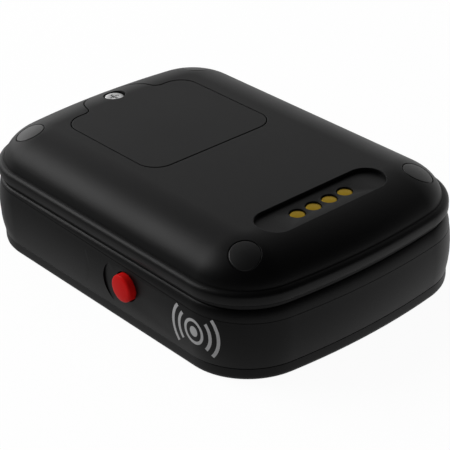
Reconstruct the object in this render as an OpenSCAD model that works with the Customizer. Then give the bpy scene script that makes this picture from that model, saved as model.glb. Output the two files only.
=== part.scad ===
// Pocket tracker lying on its front, back cover up. Millimetres, +Z up.
// The origin is the middle of the footprint, on the surface that the front panel rests on.
// +X runs to the end with the charging contacts, and the call button is on the -Y side.

/* [Body] */
// Length over the two bowed ends
body_l = 62; // [61:0.5:72]
// Width over the long sides
body_w = 44; // [43:0.5:52]
// Height from the front face to the top of the back
body_h = 17.5; // [17:0.25:20]
// Radius of the four corners seen from above
corner_r = 10.25; // [10:0.25:12]
// Radius of the bow of the two ends
end_r = 100; // [80:5:160]
// Height of the widest line of the side wall
wide_z = 6; // [5:0.25:7]
// Radius of the crown of the side wall
wall_crown_r = 18; // [16:1:40]
// Thickness of the side wall
wall_t = 1.9; // [1.7:0.1:2.1]
// Thickness of the floor behind the front panel
floor_t = 1.4; // [1.1:0.1:1.6]

/* [Front panel] */
// Height of the panel's edge band
panel_h = 2; // [1.8:0.1:2.4]
// Thickness of the panel's plate
panel_t = 1.2; // [1:0.1:1.4]
// Width of the panel's raised edge
panel_rim_w = 1.8; // [1.4:0.1:2.2]
// Radius of the panel's lower edge
panel_edge_r = 0.8; // [0.5:0.1:1]
// Thickness of the adhesive sheet behind the panel
adhesive_t = 0.2; // [0.1:0.05:0.3]

/* [Back cover] */
// Height of the back cover over the rim of the side wall
cover_h = 6.9; // [6.7:0.1:7.1]
// Distance from the outline to the foot of the dome
dome_in = 1.2; // [1.1:0.05:1.4]
// Height of the dome from its foot to the flat of the back
dome_h = 5.1; // [4.8:0.1:5.4]
// Distance from the outline to the flat of the back
flat_in = 9.1; // [8.8:0.1:9.4]
// Thickness of the cover
cover_t = 1.5; // [1.3:0.1:1.7]
// Height of the groove between side wall and flange
groove_h = 0.7; // [0.5:0.1:0.9]
// Depth of that groove behind the outline
groove_in = 0.95; // [0.8:0.05:1.1]
// Height of the flange's edge
flange_h = 0.8; // [0.6:0.1:1]
// Distance of the flange's edge from the outline
flange_in = 0.35; // [0.25:0.05:0.5]
// Radius of the hollow between flange and dome
flange_fillet_r = 0.5; // [0.3:0.05:0.55]
// Drop of the tongue into the side wall
tongue_h = 0.8; // [0.6:0.1:1]

/* [SIM door] */
// Length of the door's pad
door_l = 21; // [19.5:0.1:21.5]
// Width of the door's pad
door_w = 22.3; // [21:0.1:23]
// Corner radius of the pad
door_r = 3.1; // [2.6:0.1:3.5]
// Thickness of the pad
door_t = 1.4; // [1.2:0.1:1.6]
// Radius of the round screw tab
tab_r = 5.9; // [5.6:0.1:6.2]
// Radius of the hollow between tab and pad
tab_fillet_r = 1.5; // [1.2:0.1:2]
// Distance from the end of the body to the pad
door_end_in = 10.1; // [9.8:0.1:10.4]
// Gap round the door
door_gap = 0.16; // [0.1:0.02:0.25]

/* [Charging contacts] */
// Distance between the contacts
contact_pitch = 2.85; // [2.7:0.05:3]
// Distance from the end of the body to the row of contacts
contact_end_in = 9.55; // [9.3:0.05:10.2]
// Width of the recess round the contacts
recess_w = 5.5; // [5:0.1:6]
// Length of that recess
recess_l = 22; // [19:0.5:23]
// Depth of that recess
recess_d = 0.56; // [0.4:0.04:0.6]
// Diameter of the holes for the contacts
contact_hole_d = 2.3; // [2.1:0.05:2.5]

/* [Call button] */
// Diameter of the button
button_d = 4.3; // [4:0.1:4.6]
// Place of the button along the side, from the middle
button_x = 6.5; // [5:0.5:8]
// Height of the button's axis
button_z = 6.5; // [6.2:0.1:6.6]
// Stand of the button's face over the pocket round it
button_out = 1.1; // [0.8:0.1:1.3]

/* [Fastenings] */
// Distance from the end of the body to the screws
screw_end_in = 7.55; // [7.4:0.05:7.8]
// Shift of the four screws towards the contacts
screw_shift = 0.5; // [0:0.1:0.6]
// Distance from the long side to the screws
screw_side_in = 6.4; // [6.3:0.1:6.8]
// Diameter of the rubber plugs over the screws
plug_d = 4.15; // [4:0.05:4.3]
// Diameter of the housing screws
screw_d = 2; // [1.8:0.1:2.2]
// Diameter of the screw heads
screw_head_d = 3.6; // [3.4:0.1:3.8]
// Diameter of the door screw's head
door_head_d = 3; // [2.8:0.1:3.2]
// Diameter of the door screw
door_screw_d = 1.6; // [1.4:0.1:1.8]
// Radius of the lanyard eye's tunnel
eye_r = 1.3; // [1.1:0.05:1.35]

/* [Hidden] */

// Smoothness of round forms, and steps along the arcs that are drawn as points
round_fn = 64;
bow_fn = 360;
corner_steps = 8;
dome_steps = 10;
crown_steps = 6;
edge_steps = 4;
hollow_steps = 8;
// Overrun of every cut, and lap of pieces that are joined into one
over = 0.5;
lap = 0.3;
// Clearance of a loose fit, and of a running fit, on each side
loose = 0.2;
running = 0.05;
// Fine step at a parting line
line_w = 0.12;

// The outline: bowed ends, round corners and straight sides
half_l = body_l / 2;
half_w = body_w / 2;
corner_y = half_w - corner_r;
end_cx = half_l - end_r;
corner_x = end_cx + sqrt(pow(end_r - corner_r, 2) - pow(corner_y, 2));
end_angle = atan2(corner_y, corner_x - end_cx);
core_in = corner_r - lap;

// Heights of the back cover
rim_z = body_h - cover_h;
flange_z = rim_z + groove_h;
flange_top = flange_z + flange_h;
dome_z = body_h - dome_h;
dome_a = flat_in - dome_in;
tongue_gap = 0.12;
tongue_out = wall_t + tongue_gap;
tongue_in = dome_in + cover_t;
fillet_z = flange_top + flange_fillet_r;
fillet_angle = asin((fillet_z - dome_z) / dome_h);

// Heights inside the housing
floor_z = panel_t + adhesive_t;
floor_top = floor_z + floor_t;
board_drop = 3;
board_z = rim_z - board_drop;
board_t = 0.8;
board_top = board_z + board_t;
board_gap = 0.5;
board_in = wall_t + board_gap;
board_notch_w = 7;
board_notch_in = 3.6;
step_in = panel_rim_w + panel_edge_r / 2 + loose;

// Places of the four screws, with their bosses and columns
screw_x = half_l - screw_end_in;
screw_y = half_w - screw_side_in;
boss_r = 2.7;
column_r = 2.95;
plug_pocket_d = plug_d + 2 * running;
plug_deep = 4.9;
plug_seat_z = body_h - plug_deep;
screw_head_h = 1.2;
plug_gap = 0.15;
screw_len = 5.6;
insert_d = 3.2;
insert_h = 3.4;
plug_z = plug_seat_z + screw_head_h + plug_gap;
drive_d = 1.6;
drive_deep = 0.7;

// The gasket in the rim of the side wall
gasket_in = 1.1;
gasket_w = 0.5;
gasket_h = 0.6;

// Places of the door, its ledge and its screw
door_x0 = -(half_l - door_end_in);
door_x1 = door_x0 + door_l;
door_z = body_h - door_t;
ledge_w = 1.3;
frame_w = 1.2;
frame_h = 1.4;
tab_deep = 3.1;
tab_z = body_h - tab_deep;
tab_seat_h = 1.8;
tab_seat_w = 1.1;
door_rib_w = 0.8;
door_rib_h = 0.7;
door_rib_in = ledge_w + loose;
door_rib_far = door_rib_in + door_rib_w;
seal_in = 0.35;
seal_w = 0.5;
seal_h = 0.25;
tab_screw_in = 2.4;
door_screw_x = door_x0 - tab_screw_in;
door_bore_gap = 0.15;
door_bore_d = door_head_d + 2 * door_bore_gap;
door_head_h = 0.8;
door_head_deep = 1.5;
door_head_z = body_h - door_head_deep;
door_shank_l = 4.2;
door_shank_z = door_head_z - door_shank_l;
door_insert_d = 2.6;
door_insert_h = 1.9;
door_insert_z = tab_z - door_insert_h;
door_insert_wall = 0.9;

// The contacts
contact_x = half_l - contact_end_in;
recess_z = body_h - recess_d;
contact_block_h = 1.2;
contact_block_z = body_h - cover_t - contact_block_h;
pad_sink = 0.4;
pad_head_h = 0.8;
pad_z = recess_z - pad_sink;
pad_shank_d = 1.2;
pad_shank_l = 2.34;
pin_top = pad_z - pad_head_h - pad_shank_l;
pin_d = 1.5;
pin_tip_d = 0.9;
pin_tip_h = 1.2;

// The shallow pockets in the side with the button
pocket_deep = 0.25;
pocket_r = 3.55;
pocket_y = -(half_w - pocket_deep);
bridge_w = 3.1;
bridge_x = 0.2;
pocket_z = 6.15;

// The call button and its switch
button_y = pocket_y - button_out;
button_crown_r = 14;
button_hole_d = button_d + 2 * running;
button_flange_d = 6;
button_flange_t = 0.8;
button_flange_y = -(half_w - wall_t) + running;
button_ring_w = 0.5;
button_ring_h = 0.7;
button_ring_in = 1;
button_ring_y = -(half_w - button_ring_in);
stem_d = 2;
switch_l = 6;
switch_w = 3.4;
switch_h = 3;
switch_in = 5;
switch_y = -(half_w - switch_in);
plunger_d = 1.6;
plunger_out = 0.9;
plunger_in = 0.6;
plunger_room = 1.4;

// The lanyard eye in the corner beside the button
eye_turn = 223;
eye_z = 5.5;
eye_post_r = 1.35;
eye_path_r = eye_post_r + eye_r;
eye_wall = 0.9;
eye_x = -corner_x + corner_r * cos(eye_turn);
eye_y = -corner_y + corner_r * sin(eye_turn);
eye_gap = 0.1;
eye_top = board_z - eye_gap;

// Posts under the board
post_r = 1.4;
post_end_in = 4;
post_end_side_in = 14.6;
post_far_side_in = 11.6;
post_end_y = half_w - post_end_side_in;
post_far_y = half_w - post_far_side_in;
post_side_in = 4.2;
post_near_in = 5.6;

// The battery and what carries it
battery_end_in = 11;
battery_far_in = 16;
battery_near_in = 9.65;
battery_side_in = 6.85;
battery_r = 1.6;
tape_t = 0.2;
tape_margin = 3;
pad_gap = 0.4;
pad_margin = 7;
battery_x0 = -(half_l - battery_end_in);
battery_x1 = half_l - battery_far_in;
battery_l = battery_x1 - battery_x0;
battery_cx = (battery_x0 + battery_x1) / 2;
battery_w = body_w - battery_near_in - battery_side_in;
battery_y = (battery_near_in - battery_side_in) / 2;
battery_z = floor_top + tape_t;
battery_top = board_z - pad_gap;
plug_body_l = 3;
plug_body_w = 4.4;
plug_body_h = 2.2;
lead_in = 10.5;
lead_y = half_w - lead_in;
lead_d = 0.9;
lead_gap = 1.4;
lead_l = 1.4;
lead_z = board_z - plug_body_h / 2;

// Sound, buzz and light
speaker_l = 10.4;
speaker_w = 15;
speaker_h = 3;
speaker_r = 1.2;
speaker_in = 3;
speaker_seal_t = 0.3;
speaker_hole_d = 8;
speaker_cx = half_l - speaker_in - speaker_l / 2;
grille_hole_d = 0.9;
grille_step = 2;
mic_d = 4;
mic_h = 1.6;
mic_hole_d = 1;
mic_margin = 2.6;
mic_side_in = 9;
mic_x = half_l - battery_far_in + mic_margin;
mic_y = -(half_w - mic_side_in);
motor_d = 8;
motor_h = 2.7;
motor_in = 6;
motor_cx = -(half_l - motor_in);
motor_wall = 0.25;
guide_d = 1.8;
guide_flange_d = 2.8;
guide_flange_h = 0.6;
guide_step = 4;
guide_end_in = 17;
guide_side_in = 6;
guide_x = -(half_l - guide_end_in);
guide_y = -(half_w - guide_side_in);
led_l = 1.6;
led_w = 0.9;
led_h = 0.6;
led_gap = 0.1;

// What stands on the board
socket_l = 8.4;
socket_w = 11;
socket_base_t = 0.45;
socket_lid_t = 0.3;
socket_room = 0.9;
socket_window_l = 4.4;
socket_window_w = 6;
socket_lead = 1.5;
socket_x0 = door_x0 - socket_lead;
card_l = 12.3;
card_w = 8.8;
card_t = 0.67;
card_key = 1.65;
card_gap = 0.4;
card_x0 = socket_x0 + card_gap;
card_z = board_top + socket_base_t + (socket_room - card_t) / 2;
open_x = (door_x1 + contact_x) / 2;
open_margin = 3.175;
open_l = contact_x - door_x1 - 2 * open_margin;
antenna_w = 15;
antenna_h = 3.2;
antenna_side_in = 5.5;
antenna_y = half_w - antenna_side_in - antenna_w / 2;
antenna_plate_in = 1.75;
antenna_plate_t = 0.1;
antenna_r = 0.5;
shield_side_in = 5.9;
shield_gap = 2.6;
shield_w = half_w - shield_side_in + antenna_y - antenna_w / 2 - shield_gap;
shield_h = 2.3;
shield_t = 0.25;
shield_y = -(half_w - shield_side_in - shield_w / 2);
module_margin = 0.8;
module_t = 1.4;
strip_end_in = 17;
strip_l = body_l - 2 * strip_end_in;
strip_t = 0.3;
strip_h = 3.2;
strip_foot_w = 1.1;
strip_in = 4.2;

// How far the outline is drawn in at a height of the side wall
function wall_in(z) = pow(z - wide_z, 2) / (2 * wall_crown_r);

// Points of the outline drawn in by a distance, one corner after the other
function corner_points(d) = [for (i = [0:corner_steps])
    let (a = end_angle + (90 - end_angle) * i / corner_steps)
    [corner_x + (corner_r - d) * cos(a), corner_y + (corner_r - d) * sin(a)]];
function end_points(d) = [for (i = [-edge_steps:edge_steps - 1])
    let (a = end_angle * i / edge_steps)
    [end_cx + (end_r - d) * cos(a), (end_r - d) * sin(a)]];
function reversed(p) = [for (i = [len(p) - 1:-1:0]) p[i]];
function outline_points(d) = concat(
    end_points(d),
    corner_points(d),
    [for (p = reversed(corner_points(d))) [-p[0], p[1]]],
    [for (p = end_points(d)) [-p[0], -p[1]]],
    [for (p = corner_points(d)) [-p[0], -p[1]]],
    [for (p = reversed(corner_points(d))) [p[0], -p[1]]]);

// A profile, drawn with x outwards from the outline and y up, taken once round the body
module along_outline() {
    for (sx = [0, 1]) mirror([sx, 0, 0]) {
        for (sy = [0, 1]) mirror([0, sy, 0]) {
            translate([end_cx, 0, 0])
                rotate_extrude(angle = end_angle, $fn = bow_fn) translate([end_r, 0]) children();
            translate([corner_x, corner_y, 0]) mirror([1, -1, 0])
                rotate_extrude(angle = 90 - end_angle, $fn = round_fn) translate([corner_r, 0]) children();
        }
    }
    for (sy = [0, 1]) mirror([0, sy, 0])
        translate([-corner_x, half_w, 0]) rotate([90, 0, 90]) linear_extrude(2 * corner_x) children();
}

// A flat plate with the outline drawn in by a distance
module outline_plate(d, z0, z1) {
    translate([0, 0, z0]) linear_extrude(z1 - z0) polygon(outline_points(d));
}

module rounded_rect(l, w, r) {
    square([l - 2 * r, w], center = true);
    square([l, w - 2 * r], center = true);
    for (sx = [-1, 1], sy = [-1, 1])
        translate([sx * (l / 2 - r), sy * (w / 2 - r)]) circle(r, $fn = round_fn);
}

// A slot with round ends, long along Y
module slot_shape(w, l) {
    square([w, l - w], center = true);
    for (s = [-1, 1]) translate([0, s * (l - w) / 2]) circle(d = w, $fn = round_fn);
}

module block(l, w, h, r) {
    linear_extrude(h) rounded_rect(l, w, r);
}

module rod(d, z0, z1) {
    translate([0, 0, z0]) cylinder(d = d, h = z1 - z0, $fn = round_fn);
}

module slab(x0, x1, y0, y1, z0, z1) {
    translate([x0, y0, z0]) cube([x1 - x0, y1 - y0, z1 - z0]);
}

module at_screws() {
    for (sx = [-1, 1], sy = [-1, 1]) translate([screw_shift + sx * screw_x, sy * screw_y, 0]) children();
}

module at_contacts() {
    for (i = [-3:2:3]) translate([contact_x, i * contact_pitch / 2, 0]) children();
}

module at_posts() {
    for (sy = [-1, 1]) {
        translate([-(half_l - post_end_in), sy * post_end_y, 0]) children();
        translate([half_l - post_end_in, sy * post_far_y, 0]) children();
    }
    translate([0, half_w - post_side_in, 0]) children();
    translate([0, -(half_w - post_near_in), 0]) children();
}

module at_guides() {
    for (i = [0:2]) translate([guide_x + i * guide_step, guide_y, 0]) children();
}

// The axis of the button runs along +Y into the body
module at_button(y) {
    translate([button_x, y, button_z]) rotate([-90, 0, 0]) children();
}

// Face of the dome from a start angle up to the flat, a quarter ellipse set in by a distance
function dome_points(d, start) = [for (i = [0:dome_steps])
    let (a = start + (90 - start) * i / dome_steps)
    [-flat_in + (dome_a - d) * cos(a), dome_z + (dome_h - d) * sin(a)]];
// Top of the flange and the hollow between it and the dome
flange_points = concat([[-flange_in, flange_top - line_w], [-flange_in - line_w, flange_top]],
    [for (i = [0:edge_steps]) let (a = 90 * i / edge_steps)
        [-dome_in + flange_fillet_r * (1 - sin(a)), fillet_z - flange_fillet_r * cos(a)]]);

// The space under the outer face of the cover, with nothing hollowed out
module dome_space() {
    along_outline() polygon(concat(
        [[-core_in, rim_z], [-tongue_in, rim_z], [-tongue_in, flange_z], [-dome_in, flange_z]],
        dome_points(0, fillet_angle),
        [[-core_in, body_h]]));
    outline_plate(core_in - lap, rim_z, body_h);
}

// Outline of the door, drawn in by a distance, with a hollow on each side of the tab
module door_shape(d) {
    x0 = door_x0 + d;
    r = tab_r - d;
    f = tab_fillet_r + d;
    fx = x0 - f;
    fy = sqrt(pow(r + f, 2) - pow(fx - door_x0, 2));
    turn = atan2(-fy, door_x0 - fx);
    hollow = [for (i = [0:hollow_steps - 1]) let (a = turn * i / hollow_steps)
        [fx + f * cos(a), fy + f * sin(a)]];
    translate([(door_x0 + door_x1) / 2, 0]) rounded_rect(door_l - 2 * d, door_w - 2 * d, door_r - d);
    translate([door_x0, 0]) circle(r, $fn = round_fn);
    for (s = [0, 1]) mirror([0, s])
        polygon(concat([[x0 + over, 0], [x0 + over, fy]], hollow, [[door_x0, 0]]));
}

// The front panel: a plate with a raised edge that the housing nests in
module front_panel() {
    foot_in = wall_in(panel_h);
    edge = [for (i = [0:edge_steps]) let (a = 90 * i / edge_steps)
        [-foot_in - panel_edge_r * (1 - sin(a)), panel_edge_r * (1 - cos(a))]];
    color("#1b1b1d") difference() {
        union() {
            along_outline() polygon(concat([[-core_in, 0]], edge,
                [[-foot_in, panel_h - line_w], [-foot_in - line_w, panel_h],
                 [-panel_rim_w - panel_edge_r / 2, panel_h], [-panel_rim_w - panel_edge_r / 2, panel_t],
                 [-core_in, panel_t]]));
            outline_plate(core_in - lap, 0, panel_t);
        }
        translate([speaker_cx, 0, 0])
            for (i = [-1:1], j = [-1:1]) translate([i * grille_step, j * grille_step, 0])
                rod(grille_hole_d, -over, panel_t + over);
        translate([mic_x, mic_y, 0]) rod(mic_hole_d, -over, panel_t + over);
        at_guides() rod(guide_d + 2 * running, -over, panel_t + over);
    }
}

// The sheet that holds the panel, cut open at the holes
module panel_adhesive() {
    color("#3a3a3a") difference() {
        outline_plate(step_in + loose, panel_t, floor_z);
        translate([speaker_cx, 0, 0]) rod(speaker_hole_d, panel_t - over, floor_z + over);
        translate([mic_x, mic_y, 0]) rod(mic_hole_d, panel_t - over, floor_z + over);
        at_guides() rod(guide_flange_d, panel_t - over, floor_z + over);
    }
}

// One shallow pocket in the button side, round at the bridge and running out at the corner
module side_pocket() {
    reach = half_l;
    translate([pocket_r, pocket_y, pocket_z]) rotate([90, 0, 0]) linear_extrude(pocket_deep + over) {
        circle(pocket_r, $fn = round_fn);
        translate([0, -pocket_r]) square([reach, 2 * pocket_r]);
    }
}

// The housing: crowned side wall, floor, screw bosses, posts and the solid corner of the lanyard eye
module housing() {
    crown = [for (i = [0:crown_steps]) let (z = panel_h + (rim_z - panel_h) * i / crown_steps)
        [-wall_in(z), z]];
    color("#151517") difference() {
        union() {
            along_outline() polygon(concat(
                [[-core_in, floor_z], [-step_in, floor_z], [-step_in, panel_h]],
                crown,
                [[-gasket_in, rim_z], [-gasket_in, rim_z - gasket_h], [-gasket_in - gasket_w, rim_z - gasket_h],
                 [-gasket_in - gasket_w, rim_z], [-wall_t, rim_z], [-wall_t, floor_top], [-core_in, floor_top]]));
            outline_plate(core_in - lap, floor_z, floor_top);
            at_screws() rod(2 * boss_r, floor_top - lap, rim_z);
            at_posts() rod(2 * post_r, floor_top - lap, board_z);
            intersection() {
                translate([eye_x, eye_y, 0]) rod(2 * (eye_path_r + eye_r + eye_wall), floor_top - lap, eye_top);
                outline_plate(wall_t - lap, floor_top - lap, eye_top);
            }
        }
        at_screws() rod(insert_d, rim_z - insert_h, rim_z + over);
        at_screws() rod(screw_d + loose, rim_z - screw_len, rim_z);
        translate([bridge_x, 0, 0]) for (s = [0, 1]) mirror([s, 0, 0])
            translate([bridge_w / 2, 0, 0]) side_pocket();
        at_button(-half_w - over) cylinder(d = button_hole_d, h = wall_t + 2 * over, $fn = round_fn);
        translate([eye_x, eye_y, eye_z]) rotate_extrude($fn = round_fn)
            translate([eye_path_r, 0]) circle(eye_r, $fn = round_fn);
        translate([speaker_cx, 0, 0]) rod(speaker_hole_d, floor_z - over, floor_top + over);
        translate([mic_x, mic_y, 0]) rod(mic_hole_d, floor_z - over, floor_top + over);
        at_guides() rod(guide_d + 2 * running, floor_z - over, floor_top + over);
    }
}

// The rubber cord in the groove of the rim
module shell_gasket() {
    color("#2b2b2b") difference() {
        outline_plate(gasket_in + running, rim_z - gasket_h, rim_z);
        outline_plate(gasket_in + gasket_w - running, rim_z - gasket_h - over, rim_z + over);
    }
}

// The domed back cover with its flange, door frame, screw columns and contact recess
module rear_cover() {
    color("#161618") difference() {
        union() {
            along_outline() polygon(concat(
                [[-tongue_out, rim_z - tongue_h], [-tongue_out, rim_z],
                 [-groove_in, rim_z], [-groove_in, flange_z], [-flange_in, flange_z]],
                flange_points,
                dome_points(0, fillet_angle),
                [[-core_in, body_h], [-core_in, body_h - cover_t]],
                reversed(dome_points(cover_t, 0)),
                [[-tongue_in, rim_z - tongue_h]]));
            outline_plate(core_in - lap, body_h - cover_t, body_h);
            intersection() {
                dome_space();
                union() {
                    at_screws() rod(2 * column_r, rim_z, body_h);
                    translate([door_x0, 0, 0]) rod(2 * (tab_r + tab_seat_w), tab_z - tab_seat_h, body_h);
                    translate([door_screw_x, 0, 0])
                        rod(door_insert_d + 2 * door_insert_wall, door_insert_z, body_h);
                }
            }
            translate([0, 0, door_z - frame_h]) linear_extrude(frame_h + lap)
                translate([(door_x0 + door_x1) / 2, 0])
                    rounded_rect(door_l + 2 * frame_w, door_w + 2 * frame_w, door_r + frame_w);
            translate([contact_x, 0, contact_block_z])
                linear_extrude(contact_block_h + lap) slot_shape(recess_w, recess_l);
        }
        translate([0, 0, door_z]) linear_extrude(door_t + over) door_shape(-door_gap);
        translate([door_x0, 0, 0]) rod(2 * (tab_r + door_gap), tab_z, body_h + over);
        translate([0, 0, tab_z]) linear_extrude(body_h - tab_z + over) intersection() {
            door_shape(-door_gap);
            translate([-half_l - ledge_w, -half_w]) square([half_l + door_x0 + 2 * ledge_w, body_w]);
        }
        translate([(door_x0 + door_x1) / 2, 0, rim_z])
            block(door_l - 2 * ledge_w, door_w - 2 * ledge_w, body_h - rim_z, door_r - ledge_w);
        translate([door_screw_x, 0, 0]) rod(door_insert_d, door_insert_z, tab_z + over);
        translate([door_screw_x, 0, 0]) rod(door_screw_d + loose, rim_z, tab_z);
        at_screws() rod(plug_pocket_d, plug_seat_z, body_h + over);
        at_screws() rod(screw_d + loose, rim_z - over, plug_seat_z + over);
        translate([contact_x, 0, recess_z]) linear_extrude(recess_d + over) slot_shape(recess_w, recess_l);
        at_contacts() rod(contact_hole_d, pad_z - pad_head_h, recess_z + over);
        at_contacts() rod(pad_shank_d + 2 * running, contact_block_z - over, recess_z);
    }
}

module cross_slot(d, deep) {
    slot_w = d / 4;
    for (a = [0, 90]) rotate([0, 0, a]) translate([-d / 2, -slot_w / 2, -deep]) cube([d, slot_w, deep + over]);
}

// The four screws under the plugs
module housing_screws() {
    color("#9a9a9a") at_screws() difference() {
        union() {
            rod(screw_head_d, plug_seat_z, plug_seat_z + screw_head_h);
            rod(screw_d, plug_seat_z - screw_len, plug_seat_z + lap);
        }
        translate([0, 0, plug_seat_z + screw_head_h]) cross_slot(drive_d, drive_deep);
    }
}

// Threaded brass inserts in the bosses
module boss_inserts() {
    color("#c9a14a") at_screws() difference() {
        rod(insert_d, rim_z - insert_h, rim_z);
        rod(screw_d, rim_z - insert_h - over, rim_z + over);
    }
}

// Rubber plugs over the screws, cut to the dome
module corner_plugs() {
    color("#202022") intersection() {
        dome_space();
        at_screws() rod(plug_d, plug_z, body_h);
    }
}

// The door: a pad with a round screw tab that follows the dome
module sim_door() {
    tab_wall = ledge_w - door_gap;
    color("#171719") difference() {
        union() {
            intersection() {
                dome_space();
                union() {
                    translate([0, 0, door_z]) linear_extrude(door_t) door_shape(0);
                    translate([0, 0, tab_z]) linear_extrude(body_h - tab_z) intersection() {
                        door_shape(0);
                        translate([-half_l, -half_w]) square([half_l + door_x0 + tab_wall, body_w]);
                    }
                }
            }
            translate([(door_x0 + door_x1) / 2, 0, door_z - door_rib_h]) difference() {
                block(door_l - 2 * door_rib_in, door_w - 2 * door_rib_in, door_rib_h + lap, door_r - door_rib_in);
                translate([0, 0, -over]) block(door_l - 2 * door_rib_far, door_w - 2 * door_rib_far,
                    door_rib_h + over, door_r - door_rib_far);
            }
        }
        translate([door_screw_x, 0, 0]) rod(door_bore_d, door_head_z, body_h + over);
        translate([door_screw_x, 0, 0]) rod(door_screw_d + loose, tab_z - over, body_h);
        translate([0, 0, door_z - over]) linear_extrude(seal_h + over) difference() {
            door_seal_shape(seal_in);
            door_seal_shape(seal_in + seal_w);
        }
    }
}

module door_seal_shape(d) {
    translate([(door_x0 + door_x1) / 2 + (ledge_w + door_gap) / 2, 0])
        rounded_rect(door_l - ledge_w - door_gap - 2 * d, door_w - 2 * d, door_r - ledge_w);
}

// The cord seal in the groove under the pad
module sim_door_seal() {
    color("#303032") translate([0, 0, door_z]) linear_extrude(seal_h) difference() {
        door_seal_shape(seal_in);
        door_seal_shape(seal_in + seal_w);
    }
}

// The screw that holds the tab
module sim_door_screw() {
    color("#c8c8c8") translate([door_screw_x, 0, 0]) difference() {
        union() {
            rod(door_head_d, door_head_z, door_head_z + door_head_h);
            rod(door_screw_d, door_shank_z, door_head_z + lap);
        }
        translate([0, 0, door_head_z + door_head_h]) cross_slot(drive_d, door_head_h / 2);
    }
}

module sim_door_insert() {
    color("#c9a14a") translate([door_screw_x, 0, 0]) difference() {
        rod(door_insert_d, door_insert_z, tab_z);
        rod(door_screw_d + 2 * running, door_insert_z - over, tab_z + over);
    }
}

// The call button: crowned cap, ring groove, flange and stem, revolved about its axis
module sos_button() {
    r = button_d / 2;
    sag = button_crown_r - sqrt(pow(button_crown_r, 2) - pow(r, 2));
    crown = [for (i = [0:edge_steps]) let (x = r * i / edge_steps)
        [x, button_crown_r - sqrt(pow(button_crown_r, 2) - pow(x, 2))]];
    flange_h0 = button_flange_y - button_y;
    ring_h0 = button_ring_y - button_y;
    tip_h = switch_y - plunger_out - button_y;
    color("#c01c1e") at_button(button_y) rotate_extrude($fn = round_fn) polygon(concat(
        crown,
        [[r, ring_h0], [r - button_ring_w, ring_h0],
         [r - button_ring_w, ring_h0 + button_ring_h], [r, ring_h0 + button_ring_h],
         [r, flange_h0], [button_flange_d / 2, flange_h0], [button_flange_d / 2, flange_h0 + button_flange_t],
         [stem_d / 2, flange_h0 + button_flange_t], [stem_d / 2, tip_h], [0, tip_h]]));
}

module button_seal() {
    r = button_d / 2;
    color("#303032") at_button(button_ring_y) difference() {
        cylinder(r = r + running / 2, h = button_ring_h, $fn = round_fn);
        translate([0, 0, -over]) cylinder(r = r - button_ring_w, h = button_ring_h + 2 * over, $fn = round_fn);
    }
}

module switch_plunger() {
    color("#e8e4d8") at_button(switch_y - plunger_out)
        cylinder(d = plunger_d, h = plunger_out + plunger_in, $fn = round_fn);
}

// The side switch that hangs from the board
module side_switch() {
    color("#3c3c40") difference() {
        slab(button_x - switch_l / 2, button_x + switch_l / 2, switch_y, switch_y + switch_w, board_z - switch_h, board_z);
        at_button(switch_y - over) cylinder(d = plunger_d + 2 * running, h = plunger_room + over, $fn = round_fn);
    }
}

// The main board, notched round the screw bosses
module main_board() {
    color("#1f5b34") difference() {
        outline_plate(board_in, board_z, board_top);
        at_screws() rod(2 * (boss_r + loose), board_z - over, board_top + over);
        slab(button_x - board_notch_w / 2, button_x + board_notch_w / 2, -half_w, -(half_w - board_notch_in),
            board_z - over, board_top + over);
    }
}

module battery() {
    color("#b9bcc0") translate([battery_cx, battery_y, battery_z])
        block(battery_l, battery_w, battery_top - battery_z, battery_r);
}

module battery_tape() {
    color("#e6e6e0") translate([battery_cx, battery_y, floor_top])
        block(battery_l - 2 * tape_margin, battery_w - 2 * tape_margin, tape_t, battery_r);
}

module battery_pad() {
    color("#3f4348") translate([battery_cx, battery_y, battery_top])
        block(battery_l - 2 * pad_margin, battery_w - 2 * pad_margin, pad_gap, battery_r);
}

module battery_connector() {
    color("#efeadf") difference() {
        translate([battery_x1 + lead_l, lead_y - plug_body_w / 2, board_z - plug_body_h])
            cube([plug_body_l, plug_body_w, plug_body_h]);
        for (s = [-1, 1]) translate([battery_x1, lead_y + s * lead_gap / 2, lead_z]) rotate([0, 90, 0])
            cylinder(d = lead_d, h = lead_l + lead_d, $fn = round_fn);
    }
}

module battery_leads() {
    color("#b02020") for (s = [-1, 1])
        translate([battery_x1, lead_y + s * lead_gap / 2, lead_z]) rotate([0, 90, 0]) cylinder(d = lead_d, h = lead_l + lead_d, $fn = round_fn);
}

module speaker() {
    color("#55585c") translate([speaker_cx, 0, floor_top + speaker_seal_t])
        block(speaker_l, speaker_w, speaker_h, speaker_r);
}

module speaker_gasket() {
    color("#262628") translate([speaker_cx, 0, floor_top]) difference() {
        block(speaker_l, speaker_w, speaker_seal_t, speaker_r);
        rod(speaker_hole_d, -over, speaker_seal_t + over);
    }
}

module microphone() {
    color("#aaaaaa") translate([mic_x, mic_y, 0]) rod(mic_d, floor_top, floor_top + mic_h);
}

module vibration_motor() {
    color("#c4c6c8") translate([motor_cx, 0, 0]) {
        rod(motor_d, floor_top, floor_top + motor_h);
        rod(motor_d / 2, floor_top + motor_h - lap, floor_top + motor_h + motor_wall);
    }
}

// Light guides from the front face up to the lamps under the board
module light_guides() {
    guide_top = board_z - led_h - led_gap;
    color("#dfe6ea") at_guides() {
        rod(guide_d, 0, guide_top);
        rod(guide_flange_d, floor_top, floor_top + guide_flange_h);
    }
}

module status_leds() {
    color("#f4f1dc") at_guides() translate([-led_l / 2, -led_w / 2, board_z - led_h]) cube([led_l, led_w, led_h]);
}

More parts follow.
